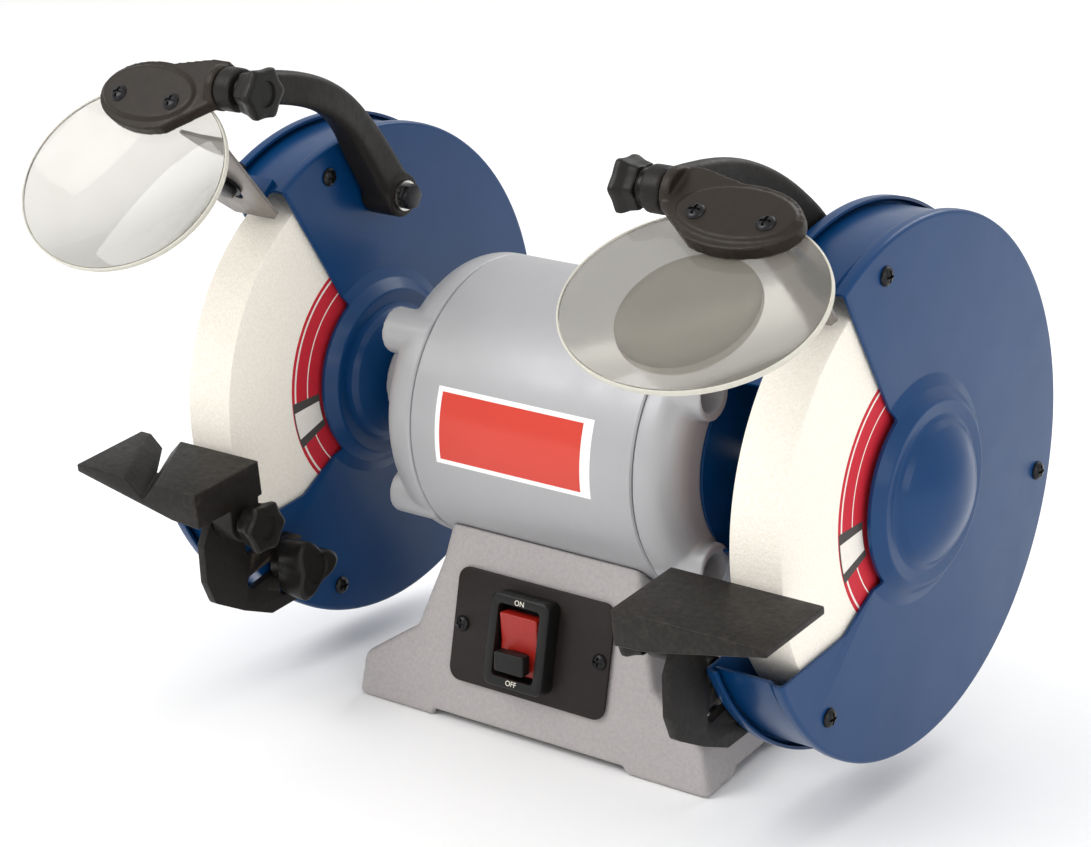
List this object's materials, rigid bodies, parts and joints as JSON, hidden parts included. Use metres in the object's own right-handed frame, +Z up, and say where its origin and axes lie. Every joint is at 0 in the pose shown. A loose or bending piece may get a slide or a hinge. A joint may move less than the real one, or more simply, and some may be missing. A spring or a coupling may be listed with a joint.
{
  "type": "bench grinder",
  "caption": "Bench grinder with white wheels on a motor shaft, blue guards, tilting eye shields, spark arrestors, adjustable tool rests and a rocker switch.",
  "frame": {"origin": "bottom centre of the bounding box, on the bench", "axes": "+X along the motor shaft to the user's right, +Z up; the user stands on the -Y side"},
  "size_m": [0.4154, 0.3114, 0.3011],
  "materials": {
    "grey_casting": "fine textured grey paint",
    "grey_paint": "light grey metallic paint",
    "blue_enamel": "deep blue gloss enamel",
    "white_stone": "porous white aluminium oxide",
    "zinc_steel": "zinc plated",
    "black_iron": "black paint on a rough casting",
    "black_plastic": "satin black",
    "red_plastic": "satin red",
    "clear_plastic": "clear polycarbonate",
    "laminated_iron": "bare laminations",
    "sheet_steel": "galvanised, dull"
  },
  "bodies": {
    "main": {"arm_bolt_left": "zinc_steel", "arm_bolt_right": "zinc_steel", "arrestor_bolt_left": "zinc_steel", "arrestor_bolt_right": "zinc_steel", "base_bottom_plate": "sheet_steel", "base_pedestal": "grey_casting", "bearing_left": "zinc_steel", "bearing_right": "zinc_steel", "capacitor": "black_plastic", "cord_inlet": "black_plastic", "cover_screw_left_1": "zinc_steel", "cover_screw_left_2": "zinc_steel", "cover_screw_left_3": "zinc_steel", "cover_screw_right_1": "zinc_steel", "cover_screw_right_2": "zinc_steel", "cover_screw_right_3": "zinc_steel", "end_bell_left": "grey_paint", "end_bell_right": "grey_paint", "guard_back_left": "blue_enamel", "guard_back_right": "blue_enamel", "guard_cover_left": "blue_enamel", "guard_cover_right": "blue_enamel", "motor_shell": "grey_paint", "stator": "laminated_iron", "switch_housing": "black_plastic", "switch_plate": "black_plastic", "switch_screw_left": "zinc_steel", "switch_screw_right": "zinc_steel"},
    "rotor": {"shaft": "zinc_steel", "rotor_core": "laminated_iron", "wheel_left": "white_stone", "inner_flange_left": "zinc_steel", "outer_flange_left": "zinc_steel", "arbor_nut_left": "zinc_steel", "wheel_right": "white_stone", "inner_flange_right": "zinc_steel", "outer_flange_right": "zinc_steel", "arbor_nut_right": "zinc_steel"},
    "switch_paddle": {"switch_paddle": "red_plastic"},
    "lock_key": {"lock_key": "black_plastic"},
    "shield_arm_left": {"shield_arm_left": "black_iron"},
    "shield_left": {"lens_holder_left": "black_iron", "lens_left": "clear_plastic"},
    "shield_knob_left": {"shield_knob_left": "black_plastic"},
    "arrestor_left": {"spark_arrestor_left": "sheet_steel"},
    "bracket_left": {"rest_bracket_left": "black_iron"},
    "rest_left": {"tool_rest_left": "black_iron"},
    "rest_knob_left": {"rest_knob_left": "black_plastic"},
    "bracket_knob_left": {"bracket_knob_left": "black_plastic"},
    "shield_arm_right": {"shield_arm_right": "black_iron"},
    "shield_right": {"lens_holder_right": "black_iron", "lens_right": "clear_plastic"},
    "shield_knob_right": {"shield_knob_right": "black_plastic"},
    "arrestor_right": {"spark_arrestor_right": "sheet_steel"},
    "bracket_right": {"rest_bracket_right": "black_iron"},
    "rest_right": {"tool_rest_right": "black_iron"},
    "rest_knob_right": {"rest_knob_right": "black_plastic"},
    "bracket_knob_right": {"bracket_knob_right": "black_plastic"}
  },
  "joints": [
    {"name": "rotor_spin", "type": "hinge", "parent": "main", "child": "rotor", "pos_m": [0, 0.03765, 0.136], "axis": [1, 0, 0], "continuous": true},
    {"name": "switch_rock", "type": "hinge", "parent": "main", "child": "switch_paddle", "pos_m": [-0.0015, -0.02029, 0.04787], "axis": [1, 0, 0], "range_deg": [-18, 0]},
    {"name": "lock_key_pull", "type": "slide", "parent": "switch_paddle", "child": "lock_key", "axis": [0, -0.9995, 0.0331], "range_m": [0, 0.012]},
    {"name": "shield_raise_left", "type": "hinge", "parent": "main", "child": "shield_arm_left", "pos_m": [-0.1308, 0.03417, 0.22273], "axis": [-1, 0, 0], "range_deg": [-5, 45]},
    {"name": "shield_tilt_left", "type": "hinge", "parent": "shield_arm_left", "child": "shield_left", "pos_m": [-0.1122, -0.07412, 0.28909], "axis": [-1, 0, 0], "range_deg": [-20, 35]},
    {"name": "shield_knob_turn_left", "type": "hinge", "parent": "shield_arm_left", "child": "shield_knob_left", "pos_m": [-0.0922, -0.07412, 0.28909], "axis": [1, 0, 0], "range_deg": [0, 180]},
    {"name": "arrestor_slide_left", "type": "slide", "parent": "main", "child": "arrestor_left", "axis": [0, -0.66, 0.7513], "range_m": [-0.003, 0.0065]},
    {"name": "bracket_slide_left", "type": "slide", "parent": "main", "child": "bracket_left", "axis": [0, -0.9724, -0.2334], "range_m": [-0.0015, 0.015]},
    {"name": "rest_tilt_left", "type": "hinge", "parent": "bracket_left", "child": "rest_left", "pos_m": [-0.1263, -0.07635, 0.096], "axis": [1, 0, 0], "range_deg": [0, 20]},
    {"name": "rest_knob_turn_left", "type": "hinge", "parent": "rest_left", "child": "rest_knob_left", "pos_m": [-0.104, -0.07635, 0.096], "axis": [1, 0, 0], "range_deg": [0, 180]},
    {"name": "bracket_knob_turn_left", "type": "hinge", "parent": "main", "child": "bracket_knob_left", "pos_m": [-0.1163, -0.04035, 0.065], "axis": [1, 0, 0], "range_deg": [0, 180]},
    {"name": "shield_raise_right", "type": "hinge", "parent": "main", "child": "shield_arm_right", "pos_m": [0.125, 0.03417, 0.22273], "axis": [-1, 0, 0], "range_deg": [-5, 45]},
    {"name": "shield_tilt_right", "type": "hinge", "parent": "shield_arm_right", "child": "shield_right", "pos_m": [0.1122, -0.07998, 0.2784], "axis": [-1, 0, 0], "range_deg": [-20, 35]},
    {"name": "shield_knob_turn_right", "type": "hinge", "parent": "shield_arm_right", "child": "shield_knob_right", "pos_m": [0.0922, -0.07998, 0.2784], "axis": [-1, 0, 0], "range_deg": [0, 180]},
    {"name": "arrestor_slide_right", "type": "slide", "parent": "main", "child": "arrestor_right", "axis": [0, -0.66, 0.7513], "range_m": [-0.003, 0.0065]},
    {"name": "bracket_slide_right", "type": "slide", "parent": "main", "child": "bracket_right", "axis": [0, -0.9724, -0.2334], "range_m": [-0.0015, 0.015]},
    {"name": "rest_tilt_right", "type": "hinge", "parent": "bracket_right", "child": "rest_right", "pos_m": [0.1205, -0.07635, 0.096], "axis": [1, 0, 0], "range_deg": [0, 20]},
    {"name": "rest_knob_turn_right", "type": "hinge", "parent": "rest_right", "child": "rest_knob_right", "pos_m": [0.0982, -0.07635, 0.096], "axis": [-1, 0, 0], "range_deg": [0, 180]},
    {"name": "bracket_knob_turn_right", "type": "hinge", "parent": "main", "child": "bracket_knob_right", "pos_m": [0.1105, -0.04035, 0.065], "axis": [-1, 0, 0], "range_deg": [0, 180]}
  ]
}
